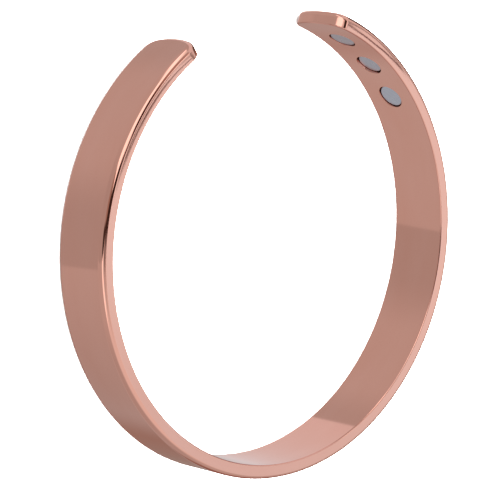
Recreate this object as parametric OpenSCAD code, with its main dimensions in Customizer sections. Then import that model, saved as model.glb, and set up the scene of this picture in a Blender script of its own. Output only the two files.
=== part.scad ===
// Open bracelet of one bent copper bar, with small disc magnets let into its inner wall near both tips.
// It lies on its side: the ring's axis is Z, the gap between the tips faces +Y,
// and the origin is on the axis, halfway across the width of the bar.

/* [Band] */
// Outer diameter of the bent bar
outer_d = 64; // [60:1:72]
// Width of the bar, along the ring's axis
band_w = 8.9; // [8.2:0.1:12]
// Thickness of the bar
band_t = 2.0; // [1.8:0.1:2.6]
// Opening between the two tips, measured at the outer wall
opening = 25; // [20:1:30]
// Rounding of the outer edges, all round the bar
outer_edge_r = 0.8; // [0.4:0.1:1.2]
// Rounding of the inner edges, all round the bar
inner_edge_r = 0.2; // [0.1:0.05:0.4]
// Radius of the wide curve across each tip's end, seen face on
end_r = 10.21; // [9.21:0.5:20.21]
// Radius of the corners between that curve and the bar's sides
tip_r = 2.21; // [1.61:0.1:3.01]

/* [Magnets] */
// Number of magnets near each tip
magnets_per_tip = 3; // [1:1:3]
// Diameter of a magnet
magnet_d = 3.5; // [3:0.1:4]
// Thickness of a magnet
magnet_t = 0.9; // [0.7:0.1:1]
// Rounding of a magnet's edges
magnet_edge_r = 0.1; // [0.05:0.05:0.2]
// Gap round a magnet in the blind pocket that it sits in
pocket_gap = 0.1; // [0.05:0.05:0.2]
// Thinnest glue line between a magnet and the floor of its pocket
glue_t = 0.05; // [0.03:0.01:0.1]
// Distance from a tip to the first magnet's centre, along the inner wall
first_magnet = 6.3; // [6:0.1:8]
// Distance from one magnet's centre to the next, along the inner wall
magnet_pitch = 6.4; // [5:0.1:8]
// How far the magnets' faces lie below the inner wall, counted from the tip
magnet_recess = [0.12, 0.28, 0.2]; // [0.05:0.01:0.35]

/* [Finish] */
// Colour of the polished copper
copper_colour = "#c4917f"; // [#c4917f:polished, #a8705a:worn]
// Colour of the nickel plating on the magnets
nickel_colour = "#9aa3ad"; // [#9aa3ad:satin, #c3c8cc:bright]

/* [Hidden] */
$fn = 128;
SIDES = ["right", "left"];

outer_r = outer_d / 2;
inner_r = outer_r - band_t;
// The corners' centres, across the width, and the angle that the end's curve turns through on each side
corner_z = band_w / 2 - tip_r;
corner_a = asin(corner_z / (end_r - tip_r));
// Each tip is straight for the length of its curves, so its end lies a little outside the circle.
tip_len = end_r - (end_r - tip_r) * cos(corner_a);
tip_end_r = sqrt(outer_r * outer_r + tip_len * tip_len);
half_gap_a = asin(opening / 2 / tip_end_r);
straight_a = half_gap_a + atan(tip_len / outer_r);
pocket_d = magnet_d + 2 * pocket_gap;
// All pockets are drilled to one depth, which holds the lowest magnet on its glue.
pocket_depth = max(magnet_recess) + magnet_t + glue_t;
// How far past the middle of the gap each side's cut goes
gap_cut_extra_a = 3;

function magnet_angle(i) = half_gap_a + (first_magnet + (i - 1) * magnet_pitch) / inner_r * 180 / PI;

// Thickness across x, from the inner wall at 0 to the outer wall, and y from 0 to reach,
// with the two corners at y = reach rounded as the bar's edges are.
module rounded_half(reach) {
    difference() {
        square([band_t, reach]);
        translate([band_t - outer_edge_r, reach - outer_edge_r])
            difference() {
                square(outer_edge_r);
                circle(r = outer_edge_r);
            }
        translate([0, reach - inner_edge_r])
            difference() {
                square(inner_edge_r);
                translate([inner_edge_r, 0]) circle(r = inner_edge_r);
            }
    }
}

// The bar's full cross-section, centred on its width
module section() {
    rounded_half(band_w / 2);
    mirror([0, 1]) rounded_half(band_w / 2);
}

// The bar's rounded edge turned into a disc, as thick as the bar
module rounded_disc(radius) {
    rotate_extrude() rotate(90) mirror([0, 1]) rounded_half(radius);
}

// Keeps what lies inside an outline, seen face on
module inside(outline) {
    intersection() {
        children();
        translate([0, 0, -band_t]) linear_extrude(3 * band_t) polygon(outline);
    }
}

// One tip, with the bar's direction along +Y from the origin: a wide curve across its end between two corners.
// The curves meet on the lines through their centres, so the bar's edge runs on smoothly.
module tip() {
    far_x = corner_z + band_w * sin(corner_a);
    far_y = band_w * cos(corner_a);
    rotate([0, 90, 0])
        mirror([1, 0, 0]) {
            inside([[-corner_z, 0], [corner_z, 0], [far_x, far_y], [-far_x, far_y]])
                translate([0, tip_len - end_r, 0]) rounded_disc(end_r);
            for (flip = [0, 1])
                mirror([flip, 0, 0])
                    inside([[corner_z, 0], [corner_z + band_w, 0], [far_x, far_y]])
                        translate([corner_z, 0, 0]) rounded_disc(tip_r);
        }
}

// Places its children on the inner wall, on the right side of the gap, with x pointing into the wall
module on_wall(angle_from_gap, depth) {
    rotate([0, 0, 90 - angle_from_gap]) translate([inner_r + depth, 0, 0]) children();
}

module on_side(side) {
    mirror([side == "left" ? 1 : 0, 0, 0]) children();
}

module pocket() {
    translate([-band_t, 0, 0])
        rotate([0, 90, 0]) cylinder(d = pocket_d, h = band_t + pocket_depth);
}

// The box that takes the whole ring away from the tip's root to the middle of the gap, on one side
module gap_cut() {
    translate([-outer_r / 2, 0, -band_w])
        cube([outer_r, outer_r * sin(straight_a + gap_cut_extra_a), 2 * band_w]);
}

module band() {
    color(copper_colour)
        difference() {
            union() {
                difference() {
                    rotate_extrude() translate([inner_r, 0]) section();
                    for (side = SIDES) on_side(side) on_wall(straight_a, 0) gap_cut();
                }
                for (side = SIDES) on_side(side) on_wall(straight_a, 0) tip();
            }
            for (side = SIDES)
                for (i = [1:magnets_per_tip])
                    on_side(side) on_wall(magnet_angle(i), 0) pocket();
        }
}

module magnet(side, i) {
    color(nickel_colour)
        on_side(side)
            on_wall(magnet_angle(i), magnet_recess[i - 1])
                rotate([0, 90, 0])
                    rotate_extrude() {
                        square([magnet_d / 2 - magnet_edge_r, magnet_t]);
                        translate([0, magnet_edge_r])
                            square([magnet_d / 2, magnet_t - 2 * magnet_edge_r]);
                        for (y = [magnet_edge_r, magnet_t - magnet_edge_r])
                            translate([magnet_d / 2 - magnet_edge_r, y])
                                circle(r = magnet_edge_r);
                    }
}

band();
for (side = SIDES)
    for (i = [1:magnets_per_tip])
        magnet(side, i);
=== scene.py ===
"""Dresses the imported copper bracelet: the bent bar, its glued-in magnets and the studio round them."""

import math
from collections import namedtuple

import bpy
import numpy as np
from mathutils import Matrix, Vector


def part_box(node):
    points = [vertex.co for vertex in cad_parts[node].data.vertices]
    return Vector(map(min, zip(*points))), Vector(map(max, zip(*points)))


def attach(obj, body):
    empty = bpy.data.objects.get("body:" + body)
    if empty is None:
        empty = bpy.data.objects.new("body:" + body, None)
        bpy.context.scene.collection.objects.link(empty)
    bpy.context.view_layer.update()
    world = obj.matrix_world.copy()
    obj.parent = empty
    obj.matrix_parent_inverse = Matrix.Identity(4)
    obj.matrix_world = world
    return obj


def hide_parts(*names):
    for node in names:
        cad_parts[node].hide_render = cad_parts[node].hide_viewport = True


bl_info = {
    "name": "Magnetic Bracelet Dressing",
    "version": (1, 0, 0),
    "blender": (4, 5, 0),
    "location": "View3D > Sidebar > Bracelet",
    "description": "Polished copper bar, nickel-plated magnets and a pale studio for the packed bracelet",
    "category": "Object",
}

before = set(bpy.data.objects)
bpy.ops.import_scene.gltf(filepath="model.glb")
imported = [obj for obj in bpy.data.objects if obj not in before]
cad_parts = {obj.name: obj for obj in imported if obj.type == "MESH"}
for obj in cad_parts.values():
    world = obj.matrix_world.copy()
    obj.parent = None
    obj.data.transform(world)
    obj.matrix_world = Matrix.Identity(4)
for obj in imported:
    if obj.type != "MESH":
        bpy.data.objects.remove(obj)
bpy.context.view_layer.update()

MM = 0.001
UP = np.array([0.0, 0.0, 1.0])
# The sides of the gap, each with its factor for x
SIDES = {"right": 1, "left": -1}
POCKETS_PER_TIP = 3
# Degrees in half a turn
HALF_TURN = 180.0
# Width of the camera's sensor, in millimetres
SENSOR_WIDTH = 36
# How near to the camera things still show
CLIP_START = 10 * MM

# Wavelengths of the waves that a polishing wheel leaves
POLISH_WAVES = (23 * MM, 17 * MM, 12 * MM, 8.5 * MM, 6 * MM)
# The step that the surface's slopes are measured over
SLOPE_STEP = 0.001 * MM

# How many cells the bar's rounded edges, its narrow faces and the corners of its tips are cut into
OUTER_ROUND_CELLS = 14
INNER_ROUND_CELLS = 5
FACE_CELLS = 8
CORNER_CELLS = 16
# Length of a cell on the plain stretches between the pockets
PLAIN_CELL = 0.45 * MM
# Half the side of the square patch round a pocket, the cells along its side, and those from it to the edge
PATCH_HALF = 2.4 * MM
PATCH_CELLS = 20
SIDE_CELLS = 6
# Rounding of a pocket's rim and of the edge of its floor
POCKET_EDGE = 0.08 * MM
# Rings of cells from the patch's border to the rim, round the rim and round the edge of the floor
PATCH_RINGS = 4
RIM_RINGS = 3
FLOOR_EDGE_RINGS = 2
# The rings on the floor, as shares of the pocket's radius
FLOOR_SHARES = (0.66, 0.33)

# Cells round a magnet's disc, and round the edges of its face and its back
DISC_SIDES = 96
DISC_FACE_ROUND_CELLS = 4
DISC_BACK_ROUND_CELLS = 2
# The rings on its face and its back, as shares of its radius
DISC_FACE_SHARES = (0.25, 0.5, 0.75, 0.88)
DISC_BACK_SHARES = (0.6, 0.3)


def linear(hex_colour):
    """An sRGB hex colour as linear red, green, blue and alpha."""
    parts = [int(hex_colour[i:i + 2], 16) / 255 for i in (1, 3, 5)]
    return tuple(c / 12.92 if c <= 0.04045 else ((c + 0.055) / 1.055) ** 2.4 for c in parts) + (1.0,)


def length(name, description, default):
    """A length property, in metres."""
    return bpy.props.FloatProperty(
        name=name, description=description, default=default, min=0, precision=5, unit="LENGTH")


def colour(name, description, hex_colour):
    """A colour property, given as sRGB hex."""
    return bpy.props.FloatVectorProperty(
        name=name, description=description, size=4, min=0, max=1, subtype="COLOR",
        default=linear(hex_colour))


class BarSettings(bpy.types.PropertyGroup):
    outer_diameter: length("Outer diameter", "Across the ring, outside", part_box("band")[1][0] * 2)
    width: length("Width", "Of the bar, along the ring's axis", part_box("band")[1][2] * 2)
    thickness: length("Thickness", "Of the bar", 2.0 * MM)
    opening: length("Opening", "Between the tips, at the outer wall", 25 * MM)
    outer_edge: length("Outer edge radius", "Rounding of the outer edges", 0.8 * MM)
    inner_edge: length("Inner edge radius", "Rounding of the inner edges", 0.2 * MM)
    end_radius: length("End radius", "Of the wide curve across each tip's end, seen face on", 10.21 * MM)
    tip_radius: length("Tip radius", "Corner radius of each tip, seen face on", 2.21 * MM)
    pocket_diameter: length("Pocket diameter", "Of the blind holes for the magnets", 3.7 * MM)
    pocket_depth: length("Pocket depth", "Below the inner wall", 1.23 * MM)
    first_pocket: length("First pocket", "Its centre's distance from the tip", 6.3 * MM)
    pocket_pitch: length("Pocket pitch", "From one pocket's centre to the next", 6.4 * MM)
    wave_height: length("Polishing waves", "Height of the waves that hand polishing leaves", 0.01 * MM)
    wave_heading: bpy.props.FloatProperty(
        name="Wave heading", description="Most that a wave may head away from the bar's direction",
        default=0.5, subtype="ANGLE")
    wave_seed: bpy.props.IntProperty(
        name="Wave seed", description="Changes how the polishing waves lie", default=7)
    polish_loss: length("Polishing loss", "How far polishing has taken all of the surface down", 0.004 * MM)
    tip_wear: length("Tip wear", "How far polishing has rounded the edge faces near the tips", 0.046 * MM)
    tip_wear_length: length("Tip wear length", "Distance from a tip where it has faded out", 28 * MM)
    right_wear_start: length("Right wear start", "Distance from the right tip where it is full", 8 * MM)
    copper: colour("Copper", "Colour of the polished copper where it mirrors white", "#F8BDAC")
    copper_worn: colour("Handled copper", "Its colour where it has been touched", "#F3B29E")
    roughness: bpy.props.FloatProperty(
        name="Roughness", description="Of the polished copper", default=0.05, min=0, max=1,
        subtype="FACTOR")


class MagnetSettings(bpy.types.PropertyGroup):
    diameter: length("Diameter", "Of each disc", 3.5 * MM)
    thickness: length("Thickness", "Of each disc", 0.9 * MM)
    edge: length("Edge radius", "Rounding of each disc's edges", 0.1 * MM)
    recess: bpy.props.FloatVectorProperty(
        name="Recess", description="Depth of the discs below the inner wall, counted from the tip",
        size=POCKETS_PER_TIP, default=(0.12 * MM, 0.28 * MM, 0.2 * MM), precision=5, unit="LENGTH")
    tilt: bpy.props.FloatProperty(
        name="Tilt", description="Most that a disc may tilt on its glue", default=math.radians(0.8),
        subtype="ANGLE")
    nickel: colour("Nickel", "Colour of the plating where it mirrors white", "#DDDFEA")
    nickel_dull: colour("Dull nickel", "Its colour in the faint rubbed streaks", "#C8CBD8")
    roughness: bpy.props.FloatProperty(
        name="Roughness", description="Of the satin plating", default=0.28, min=0, max=1,
        subtype="FACTOR")
    seed: bpy.props.IntProperty(name="Seed", description="Changes how the discs lie", default=4)


class StageSettings(bpy.types.PropertyGroup):
    azimuth: bpy.props.FloatProperty(
        name="Azimuth", description="Of the camera, from +X towards +Y", default=math.radians(161.56),
        subtype="ANGLE")
    elevation: bpy.props.FloatProperty(
        name="Elevation", description="Of the camera above the floor", default=math.radians(46.706),
        subtype="ANGLE")
    roll: bpy.props.FloatProperty(
        name="Roll", description="Of the camera, anticlockwise, since the photo shows the ring upright",
        default=math.radians(99.087), subtype="ANGLE")
    distance: length("Distance", "From the camera to the ring's middle", 336.4 * MM)
    aim: bpy.props.FloatVectorProperty(
        name="Aim", description="The point that the middle of the picture shows",
        default=(-1.728 * MM, -1.190 * MM, -1.190 * MM), precision=5, unit="LENGTH")
    lens: bpy.props.FloatProperty(
        name="Lens", description="Focal length of the camera's lens, in millimetres", default=179.49)
    floor_size: length("Floor size", "Of each side of the floor", 6.0)
    floor: colour("Floor", "Colour of the pale floor", "#F7F6F4")
    floor_mottle: colour("Floor mottle", "Its colour in the faint patches", "#F3F2F0")
    mottle_size: length("Mottle size", "Across the floor's faint patches", 40 * MM)
    lamp_power: bpy.props.FloatProperty(
        name="Lamp", description="Power of the large soft lamp above", default=260, unit="POWER")
    lamp_size: length("Lamp size", "Across the large soft lamp", 3.0)
    lamp_height: length("Lamp height", "Above the ring", 1.5)


class Bar:
    """The bent bar's own coordinates, and the way from them to the ring.

    along: distance on the inner wall from the right tip's end
    across: distance from the middle of the bar's width, towards the upper edge
    depth: distance from the inner wall into the bar
    """

    def __init__(self, size):
        self.size = size
        self.outer_r = size.outer_diameter / 2
        self.inner_r = self.outer_r - size.thickness
        # The tips' corners and the wide curve between them: their centres and the angle where they meet
        self.corner_across = size.width / 2 - size.tip_radius
        to_corner = size.end_radius - size.tip_radius
        self.corner_angle = math.asin(self.corner_across / to_corner)
        self.tip_length = size.end_radius - to_corner * math.cos(self.corner_angle)
        self.gap_angle = math.asin(size.opening / 2 / math.hypot(self.outer_r, self.tip_length))
        self.root_angle = self.gap_angle + math.atan(self.tip_length / self.outer_r)
        self.length = 2 * self.tip_length + 2 * (math.pi - self.root_angle) * self.inner_r

    def pocket_centres(self):
        """Distances along the bar of the pockets' centres near the right tip, counted from the tip."""
        tip_end = self.tip_length - (self.root_angle - self.gap_angle) * self.inner_r
        first = tip_end + self.size.first_pocket
        return [first + i * self.size.pocket_pitch for i in range(POCKETS_PER_TIP)]

    def all_pocket_centres(self):
        """The same for both tips, in their order along the bar."""
        centres = self.pocket_centres()
        return centres + [self.length - centre for centre in reversed(centres)]

    def bent(self, along):
        """The distance along, kept to the part that is bent round the circle."""
        return np.clip(along, self.tip_length, self.length - self.tip_length)

    def directions(self, along):
        """Unit vectors away from the axis and onwards along the bar."""
        angle = self.root_angle + (self.bent(along) - self.tip_length) / self.inner_r
        away = np.stack([np.sin(angle), np.cos(angle), np.zeros_like(angle)], -1)
        onwards = np.stack([np.cos(angle), -np.sin(angle), np.zeros_like(angle)], -1)
        return away, onwards

    def place(self, spots):
        """Points in space for rows of along, across, depth."""
        along, across, depth = spots.T
        away, onwards = self.directions(along)
        straight = along - self.bent(along)
        return (self.inner_r + depth)[:, None] * away + straight[:, None] * onwards + across[:, None] * UP

    def turn(self, spots, leans):
        """Directions in space for rows of how far each leans along, across and into the depth."""
        away, onwards = self.directions(spots[:, 0])
        return leans[:, :1] * onwards + leans[:, 1:2] * UP + leans[:, 2:] * away

    def relief(self, spots):
        """How far the surface stands out at rows of along, across, depth: below zero, as polishing wears."""
        size = self.size
        rng = np.random.default_rng(size.wave_seed)
        waves = np.zeros(len(spots))
        for wave_length in POLISH_WAVES:
            heading = rng.uniform(-size.wave_heading, size.wave_heading)
            phase = rng.uniform(0, 2 * math.pi)
            run = spots[:, 0] * math.cos(heading) + (spots[:, 1] + spots[:, 2]) * math.sin(heading)
            waves += np.sin(2 * math.pi * run / wave_length + phase) * wave_length
        waves = size.wave_height / 2 * (waves / sum(POLISH_WAVES) - 1)
        from_right = spots[:, 0]
        from_tip = np.minimum(from_right, self.length - from_right)
        near_tip = (np.clip(1 - from_tip / size.tip_wear_length, 0, 1)
                    * np.clip(from_right / size.right_wear_start, 0, 1))
        face_end = size.thickness - size.outer_edge
        ground = np.clip((spots[:, 2] - size.inner_edge) / (face_end - size.inner_edge), 0, 1)
        # Only the sides are ground, and the grinding runs out over their rounded edges.
        to_side = np.clip((np.abs(spots[:, 1]) - size.width / 2) / size.outer_edge + 1, 0, 1)
        return waves - size.polish_loss - size.tip_wear * near_tip * ground ** 2 * to_side ** 2


def spread(start, end, cell):
    """Even steps from start to end, of about one cell each, without the start."""
    count = max(1, round((end - start) / cell))
    return list(np.linspace(start, end, count + 1)[1:])


def quarter_turn(cells):
    """The angles from 0 to a right angle that bound so many even cells."""
    return np.linspace(0, math.pi / 2, cells + 1)


def columns(bar):
    """The cuts across the bar, as rows of base, lean, rise and end, and the cut where each patch starts.

    At inset q from the bar's outline a cut lies at base - lean * (tip_radius - q) along, and reaches
    corner_across + rise * (tip_radius - q) across. end is 1 for the curved cut along the right tip's end,
    -1 for the one along the left tip's, and 0 for the others, which are straight.
    """
    tip = bar.tip_length
    corner = np.linspace(bar.corner_angle, math.pi / 2, CORNER_CELLS + 1)[1:]
    start = [(0, 0, 0, 1)] + [(tip, math.cos(a), math.sin(a), 0) for a in corner]
    middle = []
    reached = tip
    patch_starts = []
    for centre in bar.all_pocket_centres():
        middle += spread(reached, centre - PATCH_HALF, PLAIN_CELL)
        patch_starts.append(len(start) + len(middle) - 1)
        middle += spread(centre - PATCH_HALF, centre + PATCH_HALF, 2 * PATCH_HALF / PATCH_CELLS)
        reached = centre + PATCH_HALF
    middle += spread(reached, bar.length - tip, PLAIN_CELL)[:-1]
    end = [(bar.length - tip, -math.cos(a), math.sin(a), 0) for a in reversed(corner)]
    end.append((bar.length, 0, 0, -1))
    return np.array(start + [(m, 0, 1, 0) for m in middle] + end), patch_starts


def cut_spots(bar, cuts, shares, inset):
    """Where the given shares of the half width lie on their cuts, along and across."""
    base, lean, rise, end = np.moveaxis(cuts, -1, 0)
    reach = bar.size.tip_radius - inset
    straight_along = base - lean * reach
    straight_across = shares * (bar.corner_across + rise * reach)
    turn = shares * bar.corner_angle
    end_reach = bar.size.end_radius - inset
    curved_along = base + end * (bar.size.end_radius - end_reach * np.cos(turn))
    curved_across = end_reach * np.sin(turn)
    return (np.where(end != 0, curved_along, straight_along),
            np.where(end != 0, curved_across, straight_across))


def row_shares(bar):
    """The rows of cells across the bar, as shares of the half width from -1 to 1."""
    patch = PATCH_HALF / (bar.size.width / 2 - bar.size.inner_edge)
    side = np.linspace(patch, 1, SIDE_CELLS + 1)
    middle = np.linspace(-patch, patch, PATCH_CELLS + 1)
    return np.concatenate([-side[::-1], middle[1:-1], side])


class BarMesh:
    """Gathers the bar's vertices, with their leans, and its cells."""

    def __init__(self, bar):
        self.bar = bar
        self.spots = []
        self.leans = []
        self.cells = []
        self.count = 0

    def add(self, spots, leans):
        """Adds vertices and returns their numbers, shaped like the grid that they came in."""
        shape = spots.shape[:-1]
        spots = spots.reshape(-1, 3)
        self.spots.append(spots)
        self.leans.append(np.broadcast_to(leans, shape + (3,)).reshape(-1, 3))
        numbers = np.arange(self.count, self.count + len(spots)).reshape(shape)
        self.count += len(spots)
        return numbers

    def join(self, low, high):
        """Fills the strip between two rows of vertices with cells."""
        self.cells.append(np.stack([low[:-1], low[1:], high[1:], high[:-1]], -1).reshape(-1, 4))


def wall(mesh, cuts, shares, inset, depth, facing):
    """One wall's grid of vertices, at an inset from the outline."""
    along, across = cut_spots(mesh.bar, cuts[:, None], shares[None, :], inset)
    spots = np.stack([along, across, np.full(along.shape, depth)], -1)
    return mesh.add(spots, np.array([0.0, 0.0, facing]))


def loop_of(grid):
    """The vertices round the border of a grid, once round and closed."""
    return np.concatenate([grid[:-1, -1], grid[-1, :0:-1], grid[:0:-1, 0], grid[0, :]])


def rim(mesh, cuts, shares, inner, outer):
    """The narrow faces and the rounded edges, from the inner wall's border to the outer wall's."""
    bar = mesh.bar
    size = bar.size
    cut_numbers, share_numbers = np.meshgrid(np.arange(len(cuts)), np.arange(len(shares)), indexing="ij")
    cut = cuts[loop_of(cut_numbers)]
    share = shares[loop_of(share_numbers)]
    turn = share * bar.corner_angle
    curved = cut[:, 3] != 0
    outward = np.stack([np.where(curved, -cut[:, 3] * np.cos(turn), -cut[:, 1]),
                        np.where(curved, np.sin(turn), share * cut[:, 2])], -1)
    # Rows of inset from the outline, depth, and the surface's lean outward and into the depth
    profile = []
    for bend in quarter_turn(INNER_ROUND_CELLS):
        inset = size.inner_edge * (1 - math.sin(bend))
        depth = size.inner_edge * (1 - math.cos(bend))
        profile.append((inset, depth, math.sin(bend), -math.cos(bend)))
    face_end = size.thickness - size.outer_edge
    for depth in np.linspace(size.inner_edge, face_end, FACE_CELLS + 1)[1:-1]:
        profile.append((0, depth, 1, 0))
    for bend in quarter_turn(OUTER_ROUND_CELLS):
        inset = size.outer_edge * (1 - math.cos(bend))
        depth = face_end + size.outer_edge * math.sin(bend)
        profile.append((inset, depth, math.cos(bend), math.sin(bend)))
    # The first and the last row are the borders that the walls have already.
    previous = loop_of(inner)
    for inset, depth, out, deep in profile[1:-1]:
        along, across = cut_spots(bar, cut, share, inset)
        spots = np.stack([along, across, np.full(len(cut), depth)], -1)
        leans = np.stack([outward[:, 0] * out, outward[:, 1] * out, np.full(len(cut), deep)], -1)
        # The loop's last vertex is its first one again.
        ring = mesh.add(spots[:-1], leans[:-1])
        ring = np.append(ring, ring[0])
        mesh.join(previous, ring)
        previous = ring
    mesh.join(previous, loop_of(outer))


def pocket(mesh, grid, first_column, first_row, centre):
    """A blind pocket in the inner wall, in the square hole that its patch leaves in the grid."""
    size = mesh.bar.size
    inner_r = mesh.bar.inner_r
    patch = grid[first_column:first_column + PATCH_CELLS + 1, first_row:first_row + PATCH_CELLS + 1]
    border = np.concatenate([patch[:-1, 0], patch[-1, :-1], patch[:0:-1, -1], patch[0, :0:-1]])
    steps = np.linspace(-PATCH_HALF, PATCH_HALF, PATCH_CELLS + 1)
    square = np.concatenate([
        np.stack([steps[:-1], np.full(PATCH_CELLS, -PATCH_HALF)], -1),
        np.stack([np.full(PATCH_CELLS, PATCH_HALF), steps[:-1]], -1),
        np.stack([steps[:0:-1], np.full(PATCH_CELLS, PATCH_HALF)], -1),
        np.stack([np.full(PATCH_CELLS, -PATCH_HALF), steps[:0:-1]], -1)])
    # The border and the square start at their corner with the least along and across.
    first_corner = math.radians(-135)
    turn = first_corner + np.arange(len(border)) * 2 * math.pi / len(border)
    circle = np.stack([np.cos(turn), np.sin(turn)], -1)
    radius = size.pocket_diameter / 2

    def on_wall(flat):
        """Bar coordinates of points in the pocket's flat plan, laid on the inner wall."""
        along = centre + inner_r * np.arcsin(flat[:, 0] / inner_r)
        return np.stack([along, flat[:, 1], np.zeros(len(flat))], -1)

    def in_pocket(flat, depth, follow):
        """The same at a depth, counted from the curved wall where follow is 1, from its tangent where 0."""
        sag = np.sqrt(inner_r ** 2 - flat[:, 0] ** 2) - inner_r
        from_axis = inner_r + follow * sag + depth
        angle = np.arctan2(flat[:, 0], from_axis)
        return np.stack([centre + inner_r * angle, flat[:, 1],
                         np.hypot(from_axis, flat[:, 0]) - inner_r], -1)

    rings = []
    for share in np.linspace(0, 1, PATCH_RINGS + 1)[1:]:
        flat = square * (1 - share) + circle * (radius + POCKET_EDGE) * share
        rings.append((on_wall(flat), np.tile([0.0, 0.0, -1.0], (len(flat), 1))))
    for bend in quarter_turn(RIM_RINGS)[1:]:
        flat = circle * (radius + POCKET_EDGE * (1 - math.sin(bend)))
        lean = np.concatenate([-circle * math.sin(bend), np.full((len(flat), 1), -math.cos(bend))], 1)
        rings.append((in_pocket(flat, POCKET_EDGE * (1 - math.cos(bend)), 1), lean))
    for bend in quarter_turn(FLOOR_EDGE_RINGS):
        flat = circle * (radius - POCKET_EDGE * (1 - math.cos(bend)))
        lean = np.concatenate([-circle * math.cos(bend), np.full((len(flat), 1), -math.sin(bend))], 1)
        rings.append((in_pocket(flat, size.pocket_depth - POCKET_EDGE * (1 - math.sin(bend)), 0), lean))
    for share in FLOOR_SHARES:
        flat = circle * radius * share
        rings.append((in_pocket(flat, size.pocket_depth, 0), np.tile([0.0, 0.0, -1.0], (len(flat), 1))))

    previous = np.append(border, border[0])
    for spots, leans in rings:
        ring = mesh.add(spots, leans)
        ring = np.append(ring, ring[0])
        mesh.join(previous, ring)
        previous = ring
    middle = mesh.add(np.array([[centre, 0.0, size.pocket_depth]]), np.array([0.0, 0.0, -1.0]))[0]
    hub = np.full(len(previous), middle)
    mesh.cells.append(np.stack([hub[:-1:2], previous[:-1:2], previous[1::2], previous[2::2]], -1))


def bar_mesh(bar):
    """All of the bar's surface as vertices, normals, cells and lengths for the pattern."""
    cuts, patch_starts = columns(bar)
    shares = row_shares(bar)
    size = bar.size
    mesh = BarMesh(bar)
    inner = wall(mesh, cuts, shares, size.inner_edge, 0.0, -1.0)
    outer = wall(mesh, cuts, shares, size.outer_edge, size.thickness, 1.0)
    for column in range(len(cuts) - 1):
        mesh.join(outer[column], outer[column + 1])
        if any(first <= column < first + PATCH_CELLS for first in patch_starts):
            mesh.join(inner[column + 1, :SIDE_CELLS + 1], inner[column, :SIDE_CELLS + 1])
            mesh.join(inner[column + 1, -SIDE_CELLS - 1:], inner[column, -SIDE_CELLS - 1:])
        else:
            mesh.join(inner[column + 1], inner[column])
    rim(mesh, cuts, shares, inner, outer)
    for first, centre in zip(patch_starts, bar.all_pocket_centres()):
        pocket(mesh, inner, first, SIDE_CELLS, centre)

    spots = np.concatenate(mesh.spots)
    leans = np.concatenate(mesh.leans)
    slopes = np.stack([
        (bar.relief(spots + SLOPE_STEP * axis) - bar.relief(spots - SLOPE_STEP * axis)) / (2 * SLOPE_STEP)
        for axis in np.eye(3)], -1)
    slopes -= (slopes * leans).sum(1)[:, None] * leans
    points = bar.place(spots) + bar.relief(spots)[:, None] * bar.turn(spots, leans)
    normals = bar.turn(spots, leans - slopes)
    normals /= np.linalg.norm(normals, axis=1)[:, None]
    pattern = np.stack([spots[:, 0], spots[:, 1] + spots[:, 2]], -1)
    return points, normals, np.concatenate(mesh.cells), pattern


def make_piece(name, points, normals, cells, pattern, material):
    """A smooth mesh object with its own normals and a pattern layer in metres."""
    mesh = bpy.data.meshes.new(name)
    mesh.from_pydata(points.tolist(), [], cells.tolist())
    layer = mesh.uv_layers.new(name="surface")
    corners = np.empty(len(mesh.loops), dtype=np.int32)
    mesh.loops.foreach_get("vertex_index", corners)
    layer.data.foreach_set("uv", pattern[corners].ravel())
    mesh.materials.append(material)
    mesh.validate()
    mesh.polygons.foreach_set("use_smooth", np.ones(len(mesh.polygons), dtype=bool))
    mesh.normals_split_custom_set_from_vertices(normals.tolist())
    piece = bpy.data.objects.new(name, mesh)
    bpy.context.scene.collection.objects.link(piece)
    return piece


def add_node(tree, kind, links=None, **settings):
    """Adds a node, makes its settings, and sets or links its inputs."""
    node = tree.nodes.new(kind)
    for name, value in settings.items():
        setattr(node, name, value)
    for name, value in (links or {}).items():
        if isinstance(value, bpy.types.NodeSocket):
            tree.links.new(value, node.inputs[name])
        else:
            node.inputs[name].default_value = value
    return node


def new_material(name):
    """An empty material, its node tree and its shader."""
    material = bpy.data.materials.new(name)
    material.use_nodes = True
    tree = material.node_tree
    shader = tree.nodes["Principled BSDF"]
    return material, tree, shader


def streaks(tree, along, across, detail):
    """Noise drawn out along the piece: cells of the given lengths in metres."""
    place = add_node(tree, "ShaderNodeUVMap", uv_map="surface")
    stretch = add_node(tree, "ShaderNodeMapping", {
        "Vector": place.outputs["UV"],
        "Scale": (1 / along, 1 / across, 1.0)})
    noise = add_node(tree, "ShaderNodeTexNoise", {
        "Vector": stretch.outputs["Vector"], "Scale": 1.0, "Detail": detail})
    return noise.outputs["Fac"]


def uneven_roughness(tree, noise, noise_range, roughness, factors):
    """The roughness times a factor that follows the noise, the first one at the low end of its range."""
    mapped = add_node(tree, "ShaderNodeMapRange", {
        "Value": noise, "From Min": noise_range[0], "From Max": noise_range[1],
        "To Min": roughness * factors[0], "To Max": roughness * factors[1]})
    return mapped.outputs["Result"]


def join_metal(tree, shader, tone, roughness, bump):
    """Sets the shader to bare metal with this tone, roughness and bump."""
    shader.inputs["Metallic"].default_value = 1.0
    tree.links.new(tone.outputs["Result"], shader.inputs["Base Color"])
    tree.links.new(roughness, shader.inputs["Roughness"])
    tree.links.new(bump.outputs["Normal"], shader.inputs["Normal"])


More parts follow.
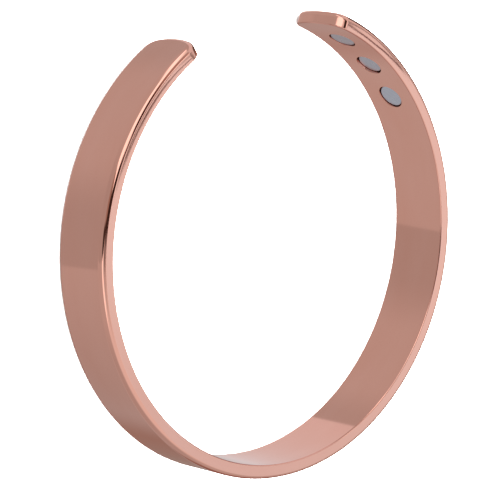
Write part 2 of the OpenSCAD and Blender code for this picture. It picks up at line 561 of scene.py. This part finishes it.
def polished_copper(size):
    """Polished bare copper, wheel-buffed along the bar.

    It gives the eye a warm pink mirror with soft-edged reflections, faint hairlines along the bar
    and slightly redder patches where fingers have touched it.
    """
    material, tree, shader = new_material("polished copper")
    touched = streaks(tree, along=14 * MM, across=5 * MM, detail=3.0)
    tone = add_node(tree, "ShaderNodeMix", {
        "Factor": touched, "A": tuple(size.copper), "B": tuple(size.copper_worn)}, data_type="RGBA")
    # Buffing hairlines are a few hundredths of a millimetre wide. They are drawn 0.12 mm wide to show.
    hairlines = streaks(tree, along=6 * MM, across=0.12 * MM, detail=2.0)
    roughness = uneven_roughness(
        tree, hairlines, noise_range=(0.3, 0.7), roughness=size.roughness, factors=(0.8, 1.6))
    bump = add_node(tree, "ShaderNodeBump", {
        "Height": hairlines, "Strength": 0.05, "Distance": 0.01 * MM})
    join_metal(tree, shader, tone, roughness, bump)
    return material


def nickel_plating(size):
    """Satin nickel plating, tumbled in a barrel.

    It gives the eye a cool grey with a wide soft shine and faint rubbed streaks.
    """
    material, tree, shader = new_material("satin nickel plating")
    rubbed = streaks(tree, along=1.6 * MM, across=0.35 * MM, detail=3.0)
    tone = add_node(tree, "ShaderNodeMix", {
        "Factor": rubbed, "A": tuple(size.nickel), "B": tuple(size.nickel_dull)}, data_type="RGBA")
    roughness = uneven_roughness(
        tree, rubbed, noise_range=(0, 1), roughness=size.roughness, factors=(0.8, 1.3))
    grain = streaks(tree, along=0.25 * MM, across=0.15 * MM, detail=2.0)
    bump = add_node(tree, "ShaderNodeBump", {
        "Height": grain, "Strength": 0.15, "Distance": 0.01 * MM})
    join_metal(tree, shader, tone, roughness, bump)
    return material


def disc_mesh(size):
    """A rounded disc, with its face at z = 0 towards -z, as vertices, normals, cells and pattern."""
    radius = size.diameter / 2
    edge = size.edge
    # Rows of distance from the middle, height, and the surface's lean outward and up
    profile = [(radius * share, 0.0, 0.0, -1.0) for share in DISC_FACE_SHARES]
    for bend in quarter_turn(DISC_FACE_ROUND_CELLS):
        reach = radius - edge * (1 - math.sin(bend))
        height = edge * (1 - math.cos(bend))
        profile.append((reach, height, math.sin(bend), -math.cos(bend)))
    for bend in quarter_turn(DISC_BACK_ROUND_CELLS):
        reach = radius - edge * (1 - math.cos(bend))
        height = size.thickness - edge * (1 - math.sin(bend))
        profile.append((reach, height, math.cos(bend), math.sin(bend)))
    profile += [(radius * share, size.thickness, 0.0, 1.0) for share in DISC_BACK_SHARES]
    turn = np.arange(DISC_SIDES) * 2 * math.pi / DISC_SIDES
    ring = np.stack([np.cos(turn), np.sin(turn)], -1)
    points = [np.array([[0.0, 0.0, 0.0]])]
    normals = [np.array([[0.0, 0.0, -1.0]])]
    for reach, height, out, up in profile:
        points.append(np.column_stack([ring * reach, np.full(DISC_SIDES, height)]))
        normals.append(np.column_stack([ring * out, np.full(DISC_SIDES, up)]))
    points.append(np.array([[0.0, 0.0, size.thickness]]))
    normals.append(np.array([[0.0, 0.0, 1.0]]))
    # Vertex 0 is the middle of the face, the rings follow, and the middle of the back is the last vertex.
    rings = 1 + np.arange(len(profile) * DISC_SIDES).reshape(len(profile), DISC_SIDES)
    pairs = np.arange(0, DISC_SIDES, 2)
    after_pairs = (pairs + 2) % DISC_SIDES
    first = rings[0]
    face_middle = np.zeros(len(pairs), int)
    cells = [np.stack([face_middle, first[after_pairs], first[pairs + 1], first[pairs]], -1)]
    for low, high in zip(rings[:-1], rings[1:]):
        cells.append(np.stack([low, np.roll(low, -1), np.roll(high, -1), high], -1))
    last = rings[-1]
    back_middle = np.full(len(pairs), last[-1] + 1)
    cells.append(np.stack([back_middle, last[pairs], last[pairs + 1], last[after_pairs]], -1))
    points = np.concatenate(points)
    pattern = points[:, :2] + points[:, 2:]
    return points, np.concatenate(normals), np.concatenate(cells), pattern


class BRACELET_OT_bar(bpy.types.Operator):
    """Builds the bent copper bar with its rounded edges and magnet pockets"""
    bl_idname = "bracelet.bar"
    bl_label = "Copper Bar"

    def execute(self, context):
        size = context.scene.bracelet_bar
        piece = make_piece("copper_bar", *bar_mesh(Bar(size)), polished_copper(size))
        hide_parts("band")
        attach(piece, "root")
        return {"FINISHED"}


class BRACELET_OT_magnets(bpy.types.Operator):
    """Builds the nickel-plated magnets in their pockets"""
    bl_idname = "bracelet.magnets"
    bl_label = "Magnets"

    def execute(self, context):
        size = context.scene.bracelet_magnets
        bar = Bar(context.scene.bracelet_bar)
        material = nickel_plating(size)
        points, normals, cells, pattern = disc_mesh(size)
        rng = np.random.default_rng(size.seed)
        for side, mirror in SIDES.items():
            for i, (centre, recess) in enumerate(zip(bar.pocket_centres(), size.recess)):
                away, onwards = (Vector(way[0]) for way in bar.directions(np.array([centre])))
                away.x *= mirror
                onwards.x *= mirror
                up = away.cross(onwards)
                stand = Matrix((onwards, up, away)).transposed()
                lean = Matrix.Rotation(rng.uniform(0, 1) * size.tilt, 3, "X")
                spin = Matrix.Rotation(rng.uniform(0, 2 * math.pi), 3, "Z")
                turn = np.array(stand @ spin @ lean)
                at = np.array(away) * (bar.inner_r + recess)
                piece = make_piece(
                    f"magnet_disc_{side}_{i + 1}", points @ turn.T + at, normals @ turn.T, cells, pattern,
                    material)
                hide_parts(f"magnet_{side}_{i + 1}")
                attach(piece, "root")
        return {"FINISHED"}


# What the copper mirrors: soft cards and dark gaps round the stage, each given by the directions that it
# fills. Azimuths run from +X towards +Y and elevations up from the horizon, in degrees. Each soft pair says
# how far the card fades to either side of its two edges. lean is how many degrees of azimuth the card's
# sides shift for each degree of elevation above the middle of its height. A light of 1 shows as white.
# A card covers the ones before it, and BASE_LIGHT is the light where no card is.
Card = namedtuple("Card", "name az_from az_to az_soft el_from el_to el_soft lean light tint")
WHITE = "#FFFFFF"
PALE = "#F9FBFF"
COOL = "#EDF8FF"
WARM = "#FFF0EA"
BROWN = "#FFE0D2"
RED_BROWN = "#FFC8B4"
CARDS = (
    Card("fading wall", -130, -20, (60, 20), -95, -48, (2, 5), 0, 0.36, WHITE),
    Card("brown wall", -80, -22, (12, 12), -64, -46.5, (8, 0.6), 0, 0.33, BROWN),
    Card("warm wall facing the right tip", -76, -30, (12, 4), -46.4, -43.6, (0.2, 0.6), 0, 0.45, WARM),
    Card("dark corner", -92, -22, (8, 6), -40, -2, (1.5, 12), 0, 0.27, RED_BROWN),
    Card("wall beside the dark corner", -146, -84, (10, 6), -38, 26, (3, 8), 0, 0.46, WHITE),
    Card("dim floor card", 167.6, 208.6, (16, 0.5), -95, -38, (2, 4), -1.2, 0.44, WHITE),
    Card("dim wall over the floor card", 140, 181, (16, 0.5), -38, 42, (4, 6), 0, 0.44, WHITE),
    Card("grey wall behind the gap", 62, 80, (3, 12), -95, 20, (2, 12), 0, 0.47, WHITE),
    Card("bright card below the gap", -14, 63, (10, 0.8), -95, 50, (2, 6), 0, 0.765, PALE),
    Card("dark doorway behind the gap", -2, 24, (4, 5), -43, 10, (2, 8), 0, 0.1, RED_BROWN),
    Card("pale wall", -150, -30, (10, 4), 36, 72, (12, 6), 0, 0.8, WHITE),
    Card("back window", -177, -146, (0.5, 6), 40, 62, (6, 4), 0, 1.3, WHITE),
    Card("tall window", 83, 97, (5, 5), 8, 64, (6, 5), 0, 1.5, WHITE),
    Card("dark gap beside the softbox", -9, 3, (0.6, 3), 26, 50, (6, 2), 0, 0.34, WHITE),
    Card("light strip round the softbox", -36, -5.6, (4, 0.4), 30, 59, (6, 1), 0, 1.0, COOL),
    Card("bright strip over the softbox", -24, 26, (2, 6), 55, 60, (0.8, 1.5), 0, 1.5, WHITE),
    Card("softbox frame", -18.8, -8.2, (1, 0.2), 30, 53.2, (6, 0.2), 0, 0.12, RED_BROWN),
    Card("softbox", -44, -9.2, (6, 0.2), 28, 52, (6, 0.2), 0, 1.03, COOL),
    Card("dim end of the softbox", -60, -22, (8, 4), 24, 52, (6, 0.2), 0, 0.88, COOL),
    Card("dark ceiling", -27, 176, (1, 1), 59, 95, (1, 1), 0, 0.05, RED_BROWN),
    Card("dark middle of the ceiling", -190, 190, (1, 1), 80.5, 95, (1, 1), 0, 0.05, RED_BROWN),
    Card("brown sill of the ceiling", 8, 74, (5, 6), 57.5, 65.5, (0.8, 2), 0, 0.4, BROWN),
    Card("dark side of the upper wall", 166, 183, (4, 0.5), 40, 84, (4, 2), 0, 0.06, RED_BROWN),
    Card("brown upper wall", 108, 165, (8, 4), 44, 70, (8, 3), 0, 0.34, BROWN),
    Card("top of the tall window", 74, 138, (4, 3), 38, 78, (5, 2), 0, 1.5, WHITE),
    Card("skylight", 24, 74, (4, 4), 75, 79, (1, 1), 0, 0.8, WHITE),
)
BASE_LIGHT = 0.53


def card_mask(tree, azimuth, elevation, card):
    """How much of a card shows in each direction, from 0 to 1."""
    middle = (card.az_from + card.az_to) / 2
    half = (card.az_to - card.az_from) / 2
    height = add_node(tree, "ShaderNodeMath", {0: elevation, 1: (card.el_from + card.el_to) / 2},
                      operation="SUBTRACT")
    shift = add_node(tree, "ShaderNodeMath", {0: height.outputs[0], 1: -card.lean, 2: azimuth},
                     operation="MULTIPLY_ADD")
    centred = add_node(tree, "ShaderNodeMath", {0: shift.outputs[0], 1: middle}, operation="SUBTRACT")
    wrapped = add_node(tree, "ShaderNodeMath", {0: centred.outputs[0], 1: -HALF_TURN, 2: HALF_TURN},
                       operation="WRAP")
    mask = 1.0
    edges = (
        (wrapped.outputs[0], -half, card.az_soft[0]), (wrapped.outputs[0], half, -card.az_soft[1]),
        (elevation, card.el_from, card.el_soft[0]), (elevation, card.el_to, -card.el_soft[1]))
    for angle, edge, soft in edges:
        step = add_node(tree, "ShaderNodeMapRange", {
            "Value": angle, "From Min": edge - soft, "From Max": edge + soft},
            interpolation_type="SMOOTHSTEP")
        part = add_node(tree, "ShaderNodeMath", {0: step.outputs["Result"], 1: mask},
                        operation="MULTIPLY")
        mask = part.outputs[0]
    return mask


def studio_surroundings():
    """A world of soft cards for the polished metal to mirror."""
    world = bpy.data.worlds.new("studio surroundings")
    world.use_nodes = True
    tree = world.node_tree
    tree.nodes.clear()
    direction = add_node(tree, "ShaderNodeTexCoord").outputs["Generated"]
    parts = add_node(tree, "ShaderNodeSeparateXYZ", {"Vector": direction}).outputs
    turn = add_node(tree, "ShaderNodeMath", {0: parts["Y"], 1: parts["X"]}, operation="ARCTAN2")
    rise = add_node(tree, "ShaderNodeMath", {0: parts["Z"]}, operation="ARCSINE")
    azimuth = add_node(tree, "ShaderNodeMath", {0: turn.outputs[0]}, operation="DEGREES").outputs[0]
    elevation = add_node(tree, "ShaderNodeMath", {0: rise.outputs[0]}, operation="DEGREES").outputs[0]
    light = (BASE_LIGHT, BASE_LIGHT, BASE_LIGHT, 1.0)
    for card in CARDS:
        lit = tuple(card.light * part for part in linear(card.tint)[:3]) + (1.0,)
        shown = add_node(tree, "ShaderNodeMix", {
            "Factor": card_mask(tree, azimuth, elevation, card), "A": light, "B": lit},
            data_type="RGBA", clamp_result=False)
        light = shown.outputs["Result"]
    background = add_node(tree, "ShaderNodeBackground", {"Color": light, "Strength": 1.0})
    add_node(tree, "ShaderNodeOutputWorld", {"Surface": background.outputs["Background"]})
    return world


def pale_floor(size):
    """Matt white-painted board, which gives the eye a plain pale ground with a faint mottle."""
    material, tree, shader = new_material("matt painted board")
    place = add_node(tree, "ShaderNodeTexCoord").outputs["Object"]
    mottle = add_node(tree, "ShaderNodeTexNoise", {"Vector": place, "Scale": 1 / size.mottle_size})
    tone = add_node(tree, "ShaderNodeMix", {
        "Factor": mottle.outputs["Fac"], "A": tuple(size.floor), "B": tuple(size.floor_mottle)},
        data_type="RGBA")
    tree.links.new(tone.outputs["Result"], shader.inputs["Base Color"])
    shader.inputs["Roughness"].default_value = 0.9
    return material


class BRACELET_OT_stage(bpy.types.Operator):
    """Sets up the floor, the light, the surroundings and the camera"""
    bl_idname = "bracelet.stage"
    bl_label = "Studio"

    def execute(self, context):
        scene = context.scene
        size = scene.bracelet_stage
        half = size.floor_size / 2
        low = -scene.bracelet_bar.width / 2
        mesh = bpy.data.meshes.new("floor")
        mesh.from_pydata([(-half, -half, low), (half, -half, low), (half, half, low), (-half, half, low)],
                         [], [(0, 1, 2, 3)])
        mesh.materials.append(pale_floor(size))
        floor = bpy.data.objects.new("floor", mesh)
        scene.collection.objects.link(floor)
        # The copper mirrors the cards below the horizon in place of the floor.
        floor.visible_glossy = False

        lamp = bpy.data.lights.new("soft lamp", "AREA")
        lamp.shape = "DISK"
        lamp.size = size.lamp_size
        lamp.energy = size.lamp_power
        lamp_object = bpy.data.objects.new("soft lamp", lamp)
        lamp_object.location = (0, 0, size.lamp_height)
        lamp_object.visible_glossy = False
        scene.collection.objects.link(lamp_object)
        scene.world = studio_surroundings()
        scene.view_settings.view_transform = "Standard"

        back = Vector((math.cos(size.elevation) * math.cos(size.azimuth),
                       math.cos(size.elevation) * math.sin(size.azimuth), math.sin(size.elevation)))
        level = Vector((-math.sin(size.azimuth), math.cos(size.azimuth), 0))
        turned = Matrix.Rotation(size.roll, 3, back)
        right = turned @ level
        above = back.cross(right)
        camera = bpy.data.cameras.new("camera")
        camera.sensor_width = SENSOR_WIDTH
        camera.lens = size.lens
        camera.clip_start = CLIP_START
        view = bpy.data.objects.new("camera", camera)
        view.matrix_world = (Matrix.Translation(Vector(size.aim) + size.distance * back)
                             @ Matrix((right, above, back)).transposed().to_4x4())
        scene.collection.objects.link(view)
        scene.camera = view
        return {"FINISHED"}


class BRACELET_PT_tools(bpy.types.Panel):
    bl_label = "Bracelet"
    bl_idname = "BRACELET_PT_tools"
    bl_space_type = "VIEW_3D"
    bl_region_type = "UI"
    bl_category = "Bracelet"

    def draw(self, context):
        for operator, group in STEPS:
            box = self.layout.box()
            box.operator(operator.bl_idname)
            settings = getattr(context.scene, group)
            for name in settings.__annotations__:
                box.prop(settings, name)


GROUPS = {
    "bracelet_bar": BarSettings,
    "bracelet_magnets": MagnetSettings,
    "bracelet_stage": StageSettings,
}
STEPS = (
    (BRACELET_OT_bar, "bracelet_bar"),
    (BRACELET_OT_magnets, "bracelet_magnets"),
    (BRACELET_OT_stage, "bracelet_stage"),
)
CLASSES = tuple(GROUPS.values()) + tuple(operator for operator, _ in STEPS) + (BRACELET_PT_tools,)


def register():
    for cls in CLASSES:
        bpy.utils.register_class(cls)
    for name, group in GROUPS.items():
        setattr(bpy.types.Scene, name, bpy.props.PointerProperty(type=group))


def unregister():
    for name in GROUPS:
        delattr(bpy.types.Scene, name)
    for cls in reversed(CLASSES):
        bpy.utils.unregister_class(cls)


def main():
    register()
    bpy.ops.bracelet.bar()
    bpy.ops.bracelet.magnets()
    bpy.ops.bracelet.stage()


if __name__ == "__main__":
    main()
